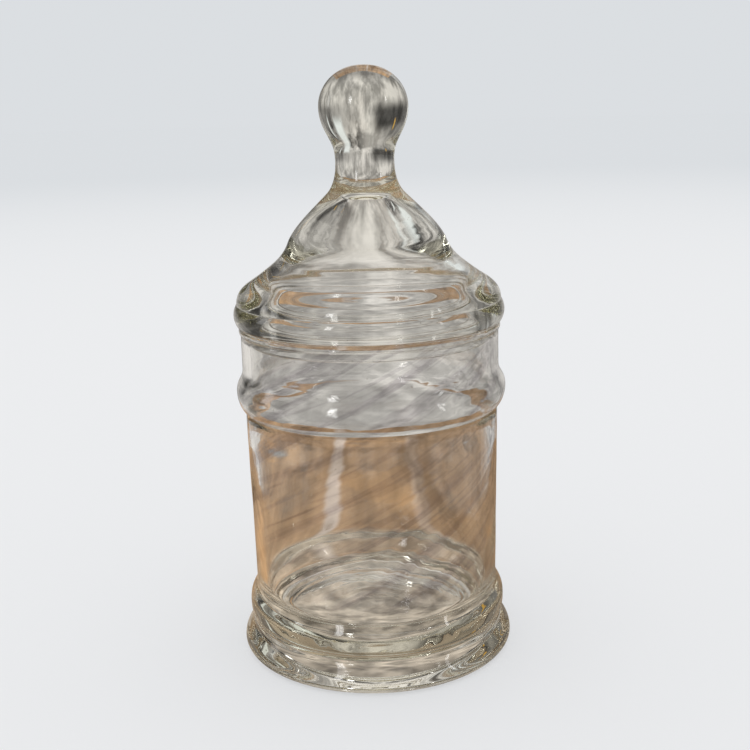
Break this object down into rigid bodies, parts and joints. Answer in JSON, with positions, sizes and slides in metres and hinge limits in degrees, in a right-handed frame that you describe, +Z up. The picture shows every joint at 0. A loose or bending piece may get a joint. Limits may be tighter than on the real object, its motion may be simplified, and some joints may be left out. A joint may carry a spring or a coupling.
{
  "type": "covered specimen jar",
  "caption": "Footed clear-glass specimen jar with a hollow shoulder ring, a base ring and a loose domed lid with a solid knob.",
  "frame": {"origin": "centre of the flat ring that the foot stands on, at table height", "axes": "+Z up the jar's axis towards the knob; the jar is round, so +X and +Y are any two level directions"},
  "size_m": [0.1102, 0.1102, 0.23],
  "materials": {
    "jar_glass": "clear hand-made soda glass, fire-polished, faint grey-green tint, slight waviness and seeds",
    "lid_glass": "clear hand-made soda glass, fire-polished, faint grey-green tint, slight waviness and seeds"
  },
  "bodies": {
    "jar": {"foot": "jar_glass", "jar_floor": "jar_glass", "base_ring": "jar_glass", "jar_wall": "jar_glass", "shoulder_ring": "jar_glass", "neck_band": "jar_glass", "mouth_rim": "jar_glass"},
    "lid": {"lid_collar": "lid_glass", "lid_flange": "lid_glass", "lid_dome": "lid_glass", "lid_stem": "lid_glass", "lid_knob": "lid_glass"}
  },
  "joints": [
    {"name": "lid_lift", "type": "slide", "parent": "jar", "child": "lid", "axis": [0, 0, 1], "range_m": [0, 0.08]}
  ]
}
